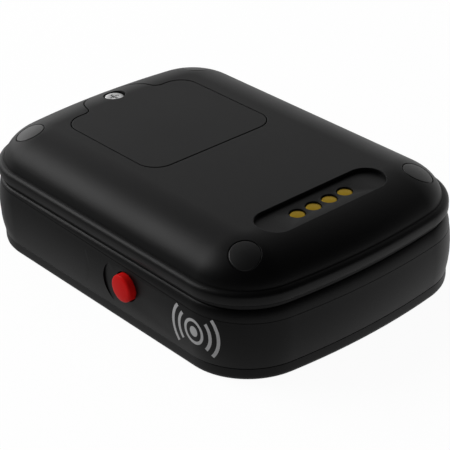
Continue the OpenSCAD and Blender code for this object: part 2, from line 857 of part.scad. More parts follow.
// The card socket: a base, two rails and a sprung lid with a window
module sim_socket() {
    socket_top = board_top + socket_base_t + socket_room;
    color("#c2c5c8") difference() {
        slab(socket_x0, socket_x0 + socket_l, -socket_w / 2, socket_w / 2, board_top, socket_top + socket_lid_t);
        slab(socket_x0 + socket_lid_t, socket_x0 + socket_l + over, -card_w / 2 - running, card_w / 2 + running,
            board_top + socket_base_t, socket_top);
        slab(socket_x0 + (socket_l - socket_window_l) / 2, socket_x0 + (socket_l + socket_window_l) / 2,
            -socket_window_w / 2, socket_window_w / 2, socket_top - over, socket_top + socket_lid_t + over);
    }
}

module sim_card() {
    color("#f2f2f0") translate([card_x0, 0, card_z]) linear_extrude(card_t)
        polygon([[0, -card_w / 2], [card_l - card_key, -card_w / 2], [card_l, -card_w / 2 + card_key],
                 [card_l, card_w / 2], [0, card_w / 2]]);
}

module modem_module() {
    color("#27406b") translate([open_x, shield_y, board_top])
        block(open_l - 2 * module_margin, shield_w - 2 * module_margin, module_t, antenna_r);
}

// The pressed shield over the modem, open below
module module_shield() {
    color("#c9cbce") translate([open_x, shield_y, board_top]) difference() {
        block(open_l, shield_w, shield_h, antenna_r);
        translate([0, 0, -over])
            block(open_l - 2 * shield_t, shield_w - 2 * shield_t, shield_h - shield_t + over, antenna_r - shield_t);
    }
}

module gps_antenna() {
    color("#cdbfa2") translate([open_x, antenna_y, board_top]) block(open_l, antenna_w, antenna_h, antenna_r);
}

module gps_antenna_plate() {
    color("#d9d9d6") translate([open_x, antenna_y, board_top + antenna_h])
        block(open_l - 2 * antenna_plate_in, antenna_w - 2 * antenna_plate_in, antenna_plate_t, antenna_r);
}

// The bent strip of the phone-network antenna at the far edge of the board
module cellular_antenna() {
    y = half_w - strip_in;
    color("#caa24c") {
        slab(-strip_l / 2, strip_l / 2, y, y + strip_t, board_top, board_top + strip_h);
        slab(-strip_l / 2, strip_l / 2, y - strip_foot_w, y + strip_t, board_top, board_top + strip_t);
    }
}

// Gold rivets in the floor of the recess
module contact_pads() {
    color("#b58a2c") at_contacts() {
        rod(contact_hole_d - 2 * running, pad_z - pad_head_h, pad_z);
        rod(pad_shank_d, pin_top, pad_z - pad_head_h + lap);
    }
}

// Sprung pins that stand on the board and meet the rivets
module contact_pins() {
    color("#c9a14a") at_contacts() {
        rod(pin_d, board_top, pin_top - pin_tip_h);
        rod(pin_tip_d, pin_top - pin_tip_h - lap, pin_top);
    }
}

front_panel();
panel_adhesive();
housing();
shell_gasket();
rear_cover();
housing_screws();
boss_inserts();
corner_plugs();
sim_door();
sim_door_seal();
sim_door_screw();
sim_door_insert();
sos_button();
button_seal();
switch_plunger();
side_switch();
main_board();
battery();
battery_tape();
battery_pad();
battery_connector();
battery_leads();
speaker();
speaker_gasket();
microphone();
vibration_motor();
light_guides();
status_leds();
sim_socket();
sim_card();
modem_module();
module_shield();
gps_antenna();
gps_antenna_plate();
cellular_antenna();
contact_pads();
contact_pins();
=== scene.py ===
import bpy
import bmesh
from math import acos, atan2, cos, degrees, hypot, pi, radians, sin, sqrt
from mathutils import Matrix, Vector
from mathutils.geometry import delaunay_2d_cdt
from mathutils.kdtree import KDTree


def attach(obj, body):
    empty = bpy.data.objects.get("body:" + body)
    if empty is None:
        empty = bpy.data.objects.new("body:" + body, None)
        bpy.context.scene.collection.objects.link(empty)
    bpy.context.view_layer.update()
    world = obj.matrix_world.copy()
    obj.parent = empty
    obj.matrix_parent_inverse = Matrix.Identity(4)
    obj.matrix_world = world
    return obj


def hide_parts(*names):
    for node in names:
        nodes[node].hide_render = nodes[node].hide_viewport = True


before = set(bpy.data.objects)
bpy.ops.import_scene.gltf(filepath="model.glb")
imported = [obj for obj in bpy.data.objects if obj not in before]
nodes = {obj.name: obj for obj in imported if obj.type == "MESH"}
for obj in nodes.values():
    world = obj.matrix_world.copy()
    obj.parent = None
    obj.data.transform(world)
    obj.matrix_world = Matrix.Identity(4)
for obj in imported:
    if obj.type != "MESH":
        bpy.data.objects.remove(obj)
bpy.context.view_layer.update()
scene = bpy.context.scene

# Camera
# It looks down on the corner between the contacts and the call button, from about 21 cm away.
# The place and the lens were worked out from the straight lines of the door and the contact recess.
turn, rise, roll = radians(50.457), radians(29.814), radians(-2.259)
back = Vector((sin(turn) * cos(rise), -cos(turn) * cos(rise), sin(rise)))
level = (-back).cross(Vector((0, 0, 1))).normalized()
upright = level.cross(-back)
right = cos(roll) * level + sin(roll) * upright
up = -sin(roll) * level + cos(roll) * upright
eye = Vector((0.017985, -0.013698, 0.0175)) + 0.21553 * back
camera = bpy.data.objects.new("camera", bpy.data.cameras.new("camera"))
camera.data.lens = 134.54
camera.data.sensor_width = 36
camera.data.clip_start = 0.01
camera.matrix_world = Matrix.Translation(eye) @ Matrix((right, up, back)).transposed().to_4x4()
scene.collection.objects.link(camera)
scene.camera = camera


# Floor and room
# A white sweep under the object. A share of it stays lit, so that the shadow shows, and reflections
# see it a little dimmer on the button's side. The room is dim overhead and pale at the horizon
# behind the object.
class Flow:
    """One output of a shader node, which can be added, multiplied and compared like a number."""

    def __init__(self, tree, out=None):
        self.tree = tree
        self.out = out

    def make(self, kind, settings=None, sockets=None, out=0):
        node = self.tree.nodes.new(kind)
        for key, value in (settings or {}).items():
            if key == "stops":
                ramp = node.color_ramp
                while len(ramp.elements) < len(value):
                    ramp.elements.new(0.5)
                for stop, (place, grey) in zip(ramp.elements, value):
                    stop.position = place
                    stop.color = (grey, grey, grey, 1)
            else:
                setattr(node, key, value)
        for key, value in (sockets or {}).items():
            if isinstance(value, Flow):
                self.tree.links.new(value.out, node.inputs[key])
            else:
                node.inputs[key].default_value = value
        return Flow(self.tree, node.outputs[out] if node.outputs else None)

    def maths(self, operation, a, b=0.0):
        return self.make("ShaderNodeMath", {"operation": operation}, {0: a, 1: b})

    def blend(self, factor, a, b):
        """Colour a where factor is 0, colour b where it is 1"""
        return self.make("ShaderNodeMix", {"data_type": "RGBA"}, {0: factor, 6: a, 7: b}, 2)

    def __add__(self, other):
        return self.maths("ADD", self, other)

    def __radd__(self, other):
        return self.maths("ADD", other, self)

    def __sub__(self, other):
        return self.maths("SUBTRACT", self, other)

    def __rsub__(self, other):
        return self.maths("SUBTRACT", other, self)

    def __mul__(self, other):
        return self.maths("MULTIPLY", self, other)

    def __rmul__(self, other):
        return self.maths("MULTIPLY", other, self)

    def __pow__(self, other):
        return self.maths("POWER", self, other)

    def __gt__(self, other):
        return self.maths("GREATER_THAN", self, other)

    def __lt__(self, other):
        return self.maths("LESS_THAN", self, other)

    def __abs__(self):
        return self.maths("ABSOLUTE", self)


def bare(tree_owner):
    """The emptied node tree of a new material or world"""
    tree_owner.use_nodes = True
    tree_owner.node_tree.nodes.clear()
    return Flow(tree_owner.node_tree)


def seen_rays(flow):
    """1 for camera, glossy and transmission rays, and 1 for glossy rays alone"""
    outs = flow.make("ShaderNodeLightPath").out.node.outputs
    camera_ray, glossy_ray, through_ray = [Flow(flow.tree, outs[name]) for name in
                                           ("Is Camera Ray", "Is Glossy Ray", "Is Transmission Ray")]
    return flow.maths("MAXIMUM", flow.maths("MAXIMUM", camera_ray, glossy_ray), through_ray), glossy_ray


def coords(flow):
    return flow.make("ShaderNodeTexCoord", out="Object")


def split(flow, vector):
    """The three parts of a vector"""
    outs = flow.make("ShaderNodeSeparateXYZ", sockets={0: vector}).out.node.outputs
    return [Flow(flow.tree, part) for part in outs]


def limit(flow, value, low, high):
    return flow.maths("MINIMUM", flow.maths("MAXIMUM", value, low), high)


sweep_white = bpy.data.materials.new("sweep_white")
flow = bare(sweep_white)
seen, glossy = seen_rays(flow)
lit = flow.make("ShaderNodeBsdfDiffuse", sockets={"Color": (0.86, 0.86, 0.86, 1)})
px, py, pz = split(flow, coords(flow))
side = limit(flow, (px + py) * 16, -1.0, 1.0)
mirrored = 1 - glossy * (0.14 - side * 0.3)
glow = flow.make("ShaderNodeEmission", sockets={"Color": mirrored * (1.06 - glossy * 0.3), "Strength": 1.0})
both = flow.make("ShaderNodeMixShader", sockets={0: seen * 0.9, 1: lit, 2: glow})
flow.make("ShaderNodeOutputMaterial", sockets={0: both})
bpy.ops.mesh.primitive_plane_add(size=4, location=(0, 0, 0))
floor = bpy.context.object
floor.name = "floor"
floor.data.materials.append(sweep_white)

room = bpy.data.worlds.new("room")
scene.world = room
flow = bare(room)
seen, glossy = seen_rays(flow)
east, north, height = split(flow, flow.make("ShaderNodeTexCoord"))
behind = limit(flow, (north * 0.64 - east * 0.77) * 1.4, 0.0, 1.0)
stops = [(0.0, 1.0), (0.12, 0.95), (0.32, 0.62), (0.52, 0.36), (0.66, 0.48), (0.79, 0.46), (0.88, 0.06)]
pale = flow.make("ShaderNodeValToRGB", {"stops": stops}, {0: height})
dim = flow.make("ShaderNodeBackground", sockets={"Color": (0.16, 0.16, 0.165, 1)})
horizon = flow.make("ShaderNodeBackground", sockets={"Color": pale * (0.08 + behind * 0.92)})
white = flow.make("ShaderNodeBackground", sockets={"Color": (1, 1, 1, 1)})
shown = flow.make("ShaderNodeMixShader", sockets={0: glossy, 1: white, 2: horizon})
both = flow.make("ShaderNodeMixShader", sockets={0: seen, 1: dim, 2: shown})
flow.make("ShaderNodeOutputWorld", sockets={0: both})


def softbox(name, aim, reach, width, tall, watts):
    """A soft lamp that hangs in a direction from the object and faces it"""
    lamp = bpy.data.lights.new(name, "AREA")
    lamp.shape = "RECTANGLE"
    lamp.size, lamp.size_y = width, tall
    lamp.energy = watts
    holder = bpy.data.objects.new(name, lamp)
    place = Vector(aim).normalized() * reach
    holder.location = place
    holder.rotation_euler = place.to_track_quat("Z", "Y").to_euler()
    scene.collection.objects.link(holder)


softbox("softbox_left", (-0.70, -0.38, 0.59), 0.9, 0.52, 0.50, 3.7)
softbox("softbox_far", (-0.93, 0.16, 0.26), 1.2, 0.7, 0.45, 1.2)
scene.view_settings.view_transform = "Standard"


# Front panel
# The flat moulding that the tracker lies on, with a raised edge, nine sound holes, the microphone's
# hole and three holes for the lamps. Black moulded plastic with a fine spark-eroded grain.
def tint(rgb):
    return (*rgb, 1)


def noise(flow, at, scale, detail=3.0, rough=0.5):
    return flow.make("ShaderNodeTexNoise", sockets={"Vector": at, "Scale": scale, "Detail": detail,
                                                    "Roughness": rough})


def surface(colour, rough, bump, depth, metal=0.0, level=0.5):
    """Ends a material: the shader and its bump, with the fixed values set on their sockets"""
    relief = colour.make("ShaderNodeBump", sockets={"Strength": 1.0, "Distance": depth, "Height": bump})
    shader = colour.make("ShaderNodeBsdfPrincipled", sockets={
        "Base Color": colour, "Roughness": rough, "Metallic": metal, "Specular IOR Level": level,
        "Normal": relief})
    colour.make("ShaderNodeOutputMaterial", sockets={0: shader})


def moulded(name, dark, pale, rough=0.42, depth=0.00001, level=0.16):
    """Moulded plastic: eroded grain of about a tenth of a millimetre, soft cloudy flow marks"""
    made = bpy.data.materials.new(name)
    flow = bare(made)
    at = coords(flow)
    grain = noise(flow, at, 7500, 2)
    clouds = noise(flow, at, 90, 4, 0.6)
    turned_at = flow.make("ShaderNodeMapping", sockets={0: at, 2: (0.3, 0.5, 0.2), 3: (1, 6, 2)})
    scuffs = noise(flow, turned_at, 260, 5, 0.7)
    rubbed = flow.make("ShaderNodeValToRGB", {"stops": [(0.0, 0.0), (0.62, 0.0), (0.8, 1.0)]}, {0: scuffs})
    colour = flow.blend(clouds, tint(dark), tint(pale))
    colour = flow.blend(rubbed * 0.12, colour, tint([2.2 * c for c in pale]))
    surface(colour, rough + (clouds - 0.5) * 0.1 + (grain - 0.5) * 0.08 - rubbed * 0.05,
            grain + scuffs * 0.4, depth, level=level)
    return made


# The body's outline: straight sides 22 mm out, corners of 10.25 mm, bowed ends of 100 mm radius
side_y, corner_x, corner_y, corner_r = 22, 19.9775, 11.75, 10.25
bow_x, bow_r, bow_turn = -69.0, 100.0, radians(7.5233)


def sliver(face):
    """True for a stray wall inside, at the seam between an end's bow and a corner"""
    across, along = cos(bow_turn), sin(bow_turn)
    return all(abs((abs(v.co.y) * 1000 - corner_y) * across - (abs(v.co.x) * 1000 - corner_x) * along) < 0.004
               for v in face.verts)


def merged(node, name):
    """A copy of a CAD node's mesh with its loose triangles joined and its stored normals dropped"""
    mesh = nodes[node].data.copy()
    mesh.name = name
    if "custom_normal" in mesh.attributes:
        mesh.attributes.remove(mesh.attributes["custom_normal"])
    mesh.materials.clear()
    work = bmesh.new()
    work.from_mesh(mesh)
    bmesh.ops.remove_doubles(work, verts=work.verts, dist=0.000003)
    bmesh.ops.dissolve_degenerate(work, edges=work.edges, dist=0.000001)
    bmesh.ops.delete(work, geom=[f for f in work.faces if sliver(f)], context="FACES")
    work.to_mesh(mesh)
    work.free()
    made = bpy.data.objects.new(name, mesh)
    scene.collection.objects.link(made)
    return made


def soften(made, angle=32, true_normal=None):
    """Smooth shading up to an angle. Where a form has a rule, its own normal takes over"""
    mesh = made.data
    mesh.shade_smooth()
    mesh.set_sharp_from_angle(angle=radians(angle))
    if true_normal is None:
        return
    spots = [v.co * 1000 for v in mesh.vertices]
    exact = [true_normal(*p) for p in spots]
    now = [n.vector.copy() for n in mesh.corner_normals]
    for face in mesh.polygons:
        for corner in face.loop_indices:
            rule = exact[mesh.loops[corner].vertex_index]
            if rule is not None and face.normal.dot(rule) > 0.93:
                now[corner] = rule
    mesh.normals_split_custom_set(now)


def inset(x, y):
    """How far a point in plan lies inside the outline"""
    x, y = abs(x), abs(y)
    dx, dy = x - corner_x, y - corner_y
    if dx > 0 and dy > dx * 0.13207:
        return corner_r - hypot(dx, dy)
    return min(side_y - y, bow_r - hypot(x - bow_x, y))


def outward(x, y):
    step = 0.01
    dx = inset(x - step, y) - inset(x + step, y)
    dy = inset(x, y - step) - inset(x, y + step)
    return Vector((dx, dy, 0)).normalized()


blacks = (0.0026, 0.0026, 0.0028), (0.0042, 0.0042, 0.0044)
panel_black = moulded("panel_black", *blacks, 0.45)
panel = merged("front_panel", "front_plate")
soften(panel, 40)
panel.data.materials.append(panel_black)
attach(panel, "case")
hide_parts("front_panel")

# Adhesive sheet, sound and light parts behind the panel
# A die-cut black tape, the speaker in its steel frame on a foam ring, a can microphone, a coin motor
# in a nickel case and three clear light guides. All sit on the housing's floor.
def paint(finish, *names):
    for name in names:
        for place in nodes[name].material_slots:
            place.material = finish


def rubber(name, dark, rough=0.7):
    made = bpy.data.materials.new(name)
    flow = bare(made)
    at = coords(flow)
    grain = noise(flow, at, 4200, 3, 0.6)
    bloom = noise(flow, at, 300, 3)
    colour = flow.blend(bloom * 0.5, tint(dark), tint([c * 1.8 + 0.006 for c in dark]))
    surface(colour, rough + (grain - 0.5) * 0.2, grain, 0.000012, level=0.25)
    return made


def metal(name, colour, rough, draw=(1, 1, 1), scale=900, depth=0.000004):
    """Bare or plated metal: fine rolling or turning lines along the stretched direction"""
    made = bpy.data.materials.new(name)
    flow = bare(made)
    at = flow.make("ShaderNodeMapping", sockets={0: coords(flow), 3: draw})
    lines = noise(flow, at, scale, 3, 0.6)
    stain = noise(flow, coords(flow), 220, 3)
    shade = flow.blend(stain * 0.35, tint(colour), tint([c * 0.72 for c in colour]))
    surface(shade, rough + (lines - 0.5) * 0.2, lines, depth, metal=1.0)
    return made


tape_black = rubber("tape_black", (0.02, 0.02, 0.021), 0.55)
foam_grey = rubber("foam_grey", (0.03, 0.03, 0.032), 0.9)
frame_steel = metal("frame_steel", (0.36, 0.37, 0.39), 0.34, (1, 14, 1))
can_nickel = metal("can_nickel", (0.62, 0.60, 0.56), 0.25, (8, 8, 1))

clear_guide = bpy.data.materials.new("clear_guide")
flow = bare(clear_guide)
haze = noise(flow, coords(flow), 1200, 3)
colour = flow.blend(haze, tint((0.55, 0.60, 0.63)), tint((0.72, 0.77, 0.80)))
surface(colour, 0.12 + haze * 0.1, haze, 0.000005)
paint(tape_black, "panel_adhesive")
paint(foam_grey, "speaker_gasket")
paint(frame_steel, "speaker")
paint(can_nickel, "microphone", "vibration_motor")
paint(clear_guide, "light_guides")

# Battery
# A foil pouch cell on double-sided tape, with a foam pad over it and two leads in a white plug.
pouch_foil = metal("pouch_foil", (0.55, 0.56, 0.58), 0.38, (1, 1, 1), 260, 0.00003)
plug_nylon = moulded("plug_nylon", (0.62, 0.60, 0.54), (0.72, 0.70, 0.64), 0.5)
lead_red = rubber("lead_red", (0.36, 0.02, 0.02), 0.45)
white_tape = rubber("white_tape", (0.62, 0.62, 0.58), 0.7)
paint(pouch_foil, "battery")
paint(white_tape, "battery_tape")
paint(foam_grey, "battery_pad")
paint(plug_nylon, "battery_connector")
paint(lead_red, "battery_leads")

# Main board
# A four-layer board in green solder mask over copper tracks, with the modem under a tin shield, the
# ceramic patch antenna, the bent strip antenna, the lamps, the side switch and the card socket on it.
board_mask = bpy.data.materials.new("board_mask")
flow = bare(board_mask)
at = coords(flow)
blocks = flow.make("ShaderNodeTexVoronoi", {"distance": "CHEBYCHEV", "feature": "F1"},
                   {"Vector": at, "Scale": 700})
tracks = flow.maths("SINE", blocks * 26) > 0.25
spots = flow.make("ShaderNodeTexVoronoi", {"feature": "F1"}, {"Vector": at, "Scale": 430})
vias = spots < 0.16
weave = noise(flow, at, 3000, 2)
mask = flow.blend(tracks, tint((0.008, 0.070, 0.030)), tint((0.014, 0.120, 0.050)))
mask = flow.blend(vias, mask, tint((0.62, 0.50, 0.22)))
surface(mask, 0.32 + (weave - 0.5) * 0.14, tracks * 0.8 + weave * 0.15, 0.00003)

shield_tin = metal("shield_tin", (0.60, 0.61, 0.62), 0.30, (1, 10, 1))
strip_gold = metal("strip_gold", (0.72, 0.50, 0.20), 0.28, (10, 1, 1))
fired_clay = moulded("fired_clay", (0.50, 0.44, 0.33), (0.60, 0.53, 0.41), 0.62, 0.00002)
fired_silver = metal("fired_silver", (0.70, 0.70, 0.67), 0.45, (1, 1, 1), 2600, 0.000012)
chip_resin = moulded("chip_resin", (0.016, 0.022, 0.045), (0.026, 0.034, 0.062), 0.5)
lamp_resin = moulded("lamp_resin", (0.75, 0.70, 0.45), (0.82, 0.78, 0.58), 0.3)
switch_black = moulded("switch_black", (0.03, 0.03, 0.032), (0.045, 0.045, 0.048), 0.48)
plunger_white = moulded("plunger_white", (0.70, 0.67, 0.58), (0.78, 0.75, 0.66), 0.4)
paint(board_mask, "main_board")
paint(shield_tin, "module_shield")
paint(strip_gold, "cellular_antenna")
paint(fired_clay, "gps_antenna")
paint(fired_silver, "gps_antenna_plate")
paint(chip_resin, "modem_module")
paint(lamp_resin, "status_leds")
paint(switch_black, "side_switch")
paint(plunger_white, "switch_plunger")

# Card socket and SIM card
# The socket is a sheet-steel tray with a window in its sprung lid. The card is white printed sheet
# with its gold contacts below, and slides out of the socket by its far end.
socket_steel = metal("socket_steel", (0.60, 0.61, 0.62), 0.26, (1, 12, 1))
card_sheet = bpy.data.materials.new("card_sheet")
flow = bare(card_sheet)
at = coords(flow)
px, py, pz = split(flow, at)
grain = noise(flow, at, 5200, 2)
band = (abs(px + 0.0118) < 0.0006) * (abs(py) < 0.0034)
colour = flow.blend(band, tint((0.80, 0.80, 0.78)), tint((0.30, 0.42, 0.55)))
surface(colour, 0.36 + (grain - 0.5) * 0.1, grain, 0.000006)
paint(socket_steel, "sim_socket")
paint(card_sheet, "sim_card")

# Housing
# The crowned side wall in one moulding with the floor, bosses and posts. Its button side has two
# shallow flat pockets, and its corner has the tunnel of the lanyard eye. A grey mark is printed by
# the button: a dot in a ring between two pairs of arcs.
shell_black = bpy.data.materials.new("shell_black")
flow = bare(shell_black)
at = coords(flow)
px, py, pz = split(flow, at)
mark_run, mark_z = 0.0206, 0.0061
fall_x, fall_y = 0.022, 0.008
bend = flow.maths("ARCTAN2", px - corner_x / 1000, 0 - (py + corner_y / 1000))
run = flow.maths("MINIMUM", px, corner_x / 1000) + flow.maths("MAXIMUM", bend, 0.0) * (corner_r / 1000)
dx, dz = run - mark_run, pz - mark_z
far = (dx * dx + dz * dz) ** 0.5
dot = far < 0.00075
ring = abs(far - 0.00165) < 0.00022
fan = abs(dz) < abs(dx) * 0.9
arcs = ((abs(far - 0.0029) < 0.00024) + (abs(far - 0.0041) < 0.00024)) * fan
print_mask = flow.maths("MINIMUM", dot + ring + arcs, 1.0) * (py < -0.0115) * (pz > 0.0021)
grain = noise(flow, at, 7500, 2)
clouds = noise(flow, at, 90, 4, 0.6)
specks = noise(flow, at, 9000, 2) > 0.34
inked = print_mask * (0.75 + specks * 0.25)
parting = abs(pz + px * fall_x + py * fall_y - 0.0094) < 0.00006
colour = flow.blend(clouds, tint(blacks[0]), tint(blacks[1]))
colour = flow.blend(parting * 0.8, colour, tint((0.0004, 0.0004, 0.0004)))
colour = flow.blend(inked, colour, tint((0.6, 0.6, 0.6)))
surface(colour, 0.40 + (clouds - 0.5) * 0.1 + (grain - 0.5) * 0.08 + parting * 0.35,
        grain + inked * 0.5 - parting * 6, 0.00001, level=0.16)
rim_top, rim_inset, rim_curve = 10.6, 0.92, 1.6


def rim_foot(x, y):
    """Height of the foot of the rolled rim, with a fine line below. It drops towards the contacts"""
    return 9.55 - fall_x * x - fall_y * y


def crown_inset(z):
    """The side's crown, widest 6 mm up"""
    return (z - 6) ** 2 / 36


def wall_inset(x, y, z):
    """How far the wall stands in at a height: the crown, with a roll above the rim's foot"""
    foot = rim_foot(x, y)
    if z <= foot:
        return crown_inset(z)
    share = min((z - foot) / (rim_top - foot), 1)
    rolled = 1 - (1 - share ** rim_curve) ** (1 / rim_curve)
    return crown_inset(foot) + (rim_inset - crown_inset(foot)) * rolled


def wall_normal(x, y, z):
    """The wall's own normal, where a point lies on its outer face"""
    if not 1.99 < z < 10.55 or abs(inset(x, y) - wall_inset(x, y, z)) > 0.02:
        return None
    n = outward(x, y)
    n.z = (wall_inset(x, y, z + 0.01) - wall_inset(x, y, z - 0.01)) / 0.02
    return n.normalized()


wall = merged("housing", "side_shell")
work = bmesh.new()
work.from_mesh(wall.data)
for share in (0, 0.15, 0.3, 0.44, 0.57, 0.69, 0.79, 0.87, 0.94, 0.98):
    middle = (0, 0, (rim_foot(0, 0) * (1 - share) + rim_top * share) / 1000)
    bmesh.ops.bisect_plane(work, geom=work.verts[:] + work.edges[:] + work.faces[:], dist=0.0000001,
                           plane_co=middle, plane_no=(fall_x * (1 - share), fall_y * (1 - share), 1))
for v in work.verts:
    x, y, z = v.co * 1000
    if rim_foot(x, y) < z < rim_top + 0.01 and abs(inset(x, y) - crown_inset(z)) < 0.08:
        v.co -= outward(x, y) * (wall_inset(x, y, z) - inset(x, y)) / 1000
work.to_mesh(wall.data)
work.free()
soften(wall, 30, wall_normal)
wall.data.materials.append(shell_black)
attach(wall, "case")
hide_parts("housing")


# Brass inserts and housing screws
# Four knurled brass inserts are melted into the bosses, and a nickel-plated pan-head screw goes into
# each from the cover. The knurls and the screw threads repeat round and along their axis.
def solid(name, spots, faces, finish, fix=False):
    """A mesh from points in millimetres, with its doubles merged"""
    mesh = bpy.data.meshes.new(name)
    mesh.from_pydata([(x / 1000, y / 1000, z / 1000) for x, y, z in spots], [], faces)
    work = bmesh.new()
    work.from_mesh(mesh)
    bmesh.ops.remove_doubles(work, verts=work.verts, dist=0.000001)
    bmesh.ops.dissolve_degenerate(work, edges=work.edges, dist=0.0000005)
    if fix:
        bmesh.ops.recalc_face_normals(work, faces=work.faces)
    work.to_mesh(mesh)
    work.free()
    made = bpy.data.objects.new(name, mesh)
    scene.collection.objects.link(made)
    mesh.materials.append(finish)
    return made


def turned(profile, steps=48, middle=(0, 0)):
    """Points and faces of a profile of (radius, height) turned about a vertical axis"""
    spots, faces = [], []
    for i in range(steps):
        a = 2 * pi * i / steps
        spots += [(middle[0] + r * cos(a), middle[1] + r * sin(a), z) for r, z in profile]
    n = len(profile)
    for i in range(steps):
        j = (i + 1) % steps
        faces += [(i * n + k, j * n + k, j * n + k + 1, i * n + k + 1) for k in range(n - 1)]
    return spots, faces


def thread(r, depth, z0, z1, pitch):
    """Profile of a screw's ridges from z1 down to z0"""
    rows, z = [], z1
    while z - pitch > z0:
        rows += [(r - depth, z), (r - depth, z - pitch * 0.25), (r, z - pitch * 0.55), (r, z - pitch * 0.7)]
        z -= pitch
    return rows


def spread(name, part, places, finish):
    """Copies of a part at several places, made by a node tree and turned into one plain mesh"""
    tree = bpy.data.node_groups.new(name + "_tree", "GeometryNodeTree")
    tree.interface.new_socket("Geometry", in_out="OUTPUT", socket_type="NodeSocketGeometry")
    tree.interface.new_socket("Points", in_out="INPUT", socket_type="NodeSocketGeometry")
    size = tree.interface.new_socket("Part scale", in_out="INPUT", socket_type="NodeSocketFloat")
    size.default_value = 1.0
    enter, leave = tree.nodes.new("NodeGroupInput"), tree.nodes.new("NodeGroupOutput")
    flow = Flow(tree)
    source = flow.make("GeometryNodeObjectInfo", sockets={"Object": part}, out="Geometry")
    placed = flow.make("GeometryNodeInstanceOnPoints",
                       sockets={"Points": Flow(tree, enter.outputs[0]), "Instance": source,
                                "Scale": Flow(tree, enter.outputs[1])})
    real = flow.make("GeometryNodeRealizeInstances", sockets={0: placed})
    done = flow.make("GeometryNodeSetMaterial", sockets={"Geometry": real, "Material": finish})
    tree.links.new(done.out, leave.inputs[0])
    mesh = bpy.data.meshes.new(name)
    mesh.from_pydata([(x / 1000, y / 1000, z / 1000) for x, y, z in places], [], [])
    holder = bpy.data.objects.new(name + "_points", mesh)
    scene.collection.objects.link(holder)
    grown = holder.modifiers.new("spread", "NODES")
    grown.node_group = tree
    grown[size.identifier] = 1.0
    bpy.context.view_layer.update()
    flat = bpy.data.meshes.new_from_object(holder.evaluated_get(bpy.context.evaluated_depsgraph_get()))
    made = bpy.data.objects.new(name, flat)
    scene.collection.objects.link(made)
    flat.materials.clear()
    flat.materials.append(finish)
    for spare in (holder, part):
        bpy.data.objects.remove(spare)
    return made


wells = [(0.5 + sx * 23.45, sy * 15.6) for sx in (-1, 1) for sy in (-1, 1)]
screw_places = [(x, y, 0) for x, y in wells]
insert_brass = metal("insert_brass", (0.72, 0.50, 0.20), 0.30, (8, 8, 1))
screw_nickel = metal("screw_nickel", (0.66, 0.65, 0.62), 0.28, (1, 1, 1), 1600)
sleeve = [(1.0, 7.2), (1.0, 10.6), (1.5, 10.6), (1.6, 10.5), (1.6, 9.3), (1.42, 9.2), (1.42, 8.8),
          (1.6, 8.7), (1.6, 7.3), (1.5, 7.2), (1.0, 7.2)]
spots, faces = turned(sleeve, 60)
for i, (x, y, z) in enumerate(spots):
    if (i // len(sleeve)) % 2 and hypot(x, y) > 1.55:
        spots[i] = (x * 0.955, y * 0.955, z)
insert = solid("insert", spots, faces, insert_brass, True)
inserts = spread("brass_inserts", insert, screw_places, insert_brass)
inserts.data.set_sharp_from_angle(angle=radians(30))
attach(inserts, "case")
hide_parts("boss_inserts")
profile = [(0, 13.1), (0.75, 13.1), (0.8, 13.8), (1.5, 13.8), (1.74, 13.7), (1.8, 13.5), (1.8, 12.6),
           (0.95, 12.6)]
profile += thread(0.99, 0.09, 7.3, 12.2, 0.4) + [(0.9, 7.2), (0.6, 7.0), (0, 7.0)]
spots, faces = turned(profile, 32)
screw = solid("screw", spots, faces, screw_nickel, True)
screws = spread("case_screws", screw, screw_places, screw_nickel)
screws.data.set_sharp_from_angle(angle=radians(35))
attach(screws, "case")
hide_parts("housing_screws")

# Gasket and call button
# A rubber cord in the rim's groove keeps water out. The red cap is moulded with its stem and flange,
# slides in its hole on a rubber ring, and pushes the plunger of the side switch.
seal_rubber = rubber("seal_rubber", (0.018, 0.018, 0.019), 0.6)
paint(seal_rubber, "shell_gasket", "button_seal", "sim_door_seal")

button_red = bpy.data.materials.new("button_red")
flow = bare(button_red)
at = coords(flow)
clouds = noise(flow, at, 260, 3)
grain = noise(flow, at, 6500, 2)
colour = flow.blend(clouds, tint((0.78, 0.008, 0.008)), tint((0.86, 0.011, 0.01)))
surface(colour, 0.38 + (grain - 0.5) * 0.1, grain, 0.000006, level=0.06)
button_x, button_z, face_y = 6.5, 6.5, -22.85
crown_r, flat_r, rim_r = 14.0, 1.7, 0.3
profile = [(r, crown_r - sqrt(crown_r ** 2 - r ** 2)) for r in (0, 0.5, 1.0, 1.4, flat_r)]
base = profile[-1][1] + 0.02
for a in (22.5, 45, 67.5, 90):
    profile.append((flat_r + rim_r * sin(radians(a)), base + rim_r * (1 - cos(radians(a)))))
profile += [(2.0, 1.85), (1.65, 1.85), (1.65, 2.55), (2.15, 2.55), (2.15, 2.8), (3.0, 2.8), (3.0, 3.6),
            (1.0, 3.6), (1.0, 4.95), (0, 4.95)]
spots, faces = turned(profile, 72)
spots = [(button_x + x, face_y + z, button_z + y) for x, y, z in spots]
cap = solid("call_cap", spots, faces, button_red, True)
soften(cap, 30)
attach(cap, "call_button")
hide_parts("sos_button")


# Back cover
# One moulding: the dome that follows the bowed outline, the flange over a dark groove, the recess of
# the door with its ledge and tab seat, four screw wells and the slot round the charging contacts.
def arc(cx, cy, r, a0, a1, n, far_end=True):
    """Points on an arc, angles in degrees"""
    return [(cx + r * cos(radians(a0 + (a1 - a0) * i / n)), cy + r * sin(radians(a0 + (a1 - a0) * i / n)))
            for i in range(n + far_end)]


def contour(d):
    """The body's outline drawn in by d, in even steps"""
    swing = degrees(bow_turn)
    quarter = arc(bow_x, 0, bow_r - d, 0, swing, 8, False)
    quarter += arc(corner_x, corner_y, corner_r - d, swing, 90, 20, False)
    quarter += [(corner_x * (1 - k / 8), side_y - d) for k in range(9)]
    half = quarter + [(-x, y) for x, y in reversed(quarter[1:-1])] + [(-quarter[0][0], 0)]
    return half + [(x, -y) for x, y in reversed(half[1:-1])]


